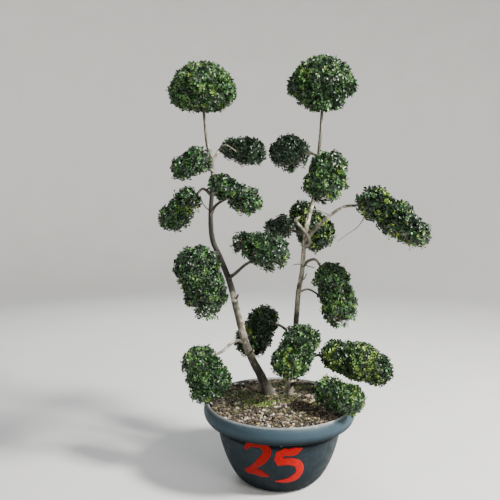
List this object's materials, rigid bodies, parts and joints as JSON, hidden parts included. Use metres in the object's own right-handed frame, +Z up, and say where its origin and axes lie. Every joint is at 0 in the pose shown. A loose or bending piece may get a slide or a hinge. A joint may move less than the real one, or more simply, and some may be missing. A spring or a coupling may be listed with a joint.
{
  "type": "potted japanese holly cloud topiary",
  "caption": "Japanese holly trained as a cloud topiary, with bare leaning stems, clipped round pads of small glossy leaves and a wide round plastic patio pot.",
  "frame": {"origin": "centre of the pot's flat underside, where it stands on the ground", "axes": "+Z up the plant, +X towards the right of the picture (the side of the long bough), +Y away from the picture view, into the crown"},
  "size_m": [0.9681, 0.5696, 1.5699],
  "materials": {
    "slate_plastic": "satin",
    "potting_soil": "matte",
    "bark": "matte",
    "holly_leaf": "semi-gloss"
  },
  "bodies": {
    "root": {"pot": "slate_plastic", "soil": "potting_soil", "trunk_left": "bark", "trunk_right": "bark", "bough_left_upper": "bark", "bough_left_outer": "bark", "bough_left_inner": "bark", "bough_centre_upper_left": "bark", "bough_left_big": "bark", "bough_centre": "bark", "bough_rim_left": "bark", "bough_back_low": "bark", "bough_front_low": "bark", "bough_right_lower": "bark", "bough_rim_right": "bark", "bough_right_low": "bark", "bough_right_low_thin": "bark", "bough_right_outer": "bark", "bough_right_back": "bark", "bough_centre_back": "bark", "bough_right_upper": "bark", "bough_centre_upper_right": "bark", "foliage_left_top": "holly_leaf", "foliage_right_top": "holly_leaf", "foliage_left_upper": "holly_leaf", "foliage_left_outer": "holly_leaf", "foliage_left_inner": "holly_leaf", "foliage_centre_upper_left": "holly_leaf", "foliage_centre_upper_right": "holly_leaf", "foliage_right_upper": "holly_leaf", "foliage_right_outer": "holly_leaf", "foliage_right_back": "holly_leaf", "foliage_centre": "holly_leaf", "foliage_centre_back": "holly_leaf", "foliage_left_big": "holly_leaf", "foliage_right_low": "holly_leaf", "foliage_back_low": "holly_leaf", "foliage_front_low": "holly_leaf", "foliage_right_lower": "holly_leaf", "foliage_rim_right": "holly_leaf", "foliage_rim_left": "holly_leaf"}
  },
  "joints": []
}
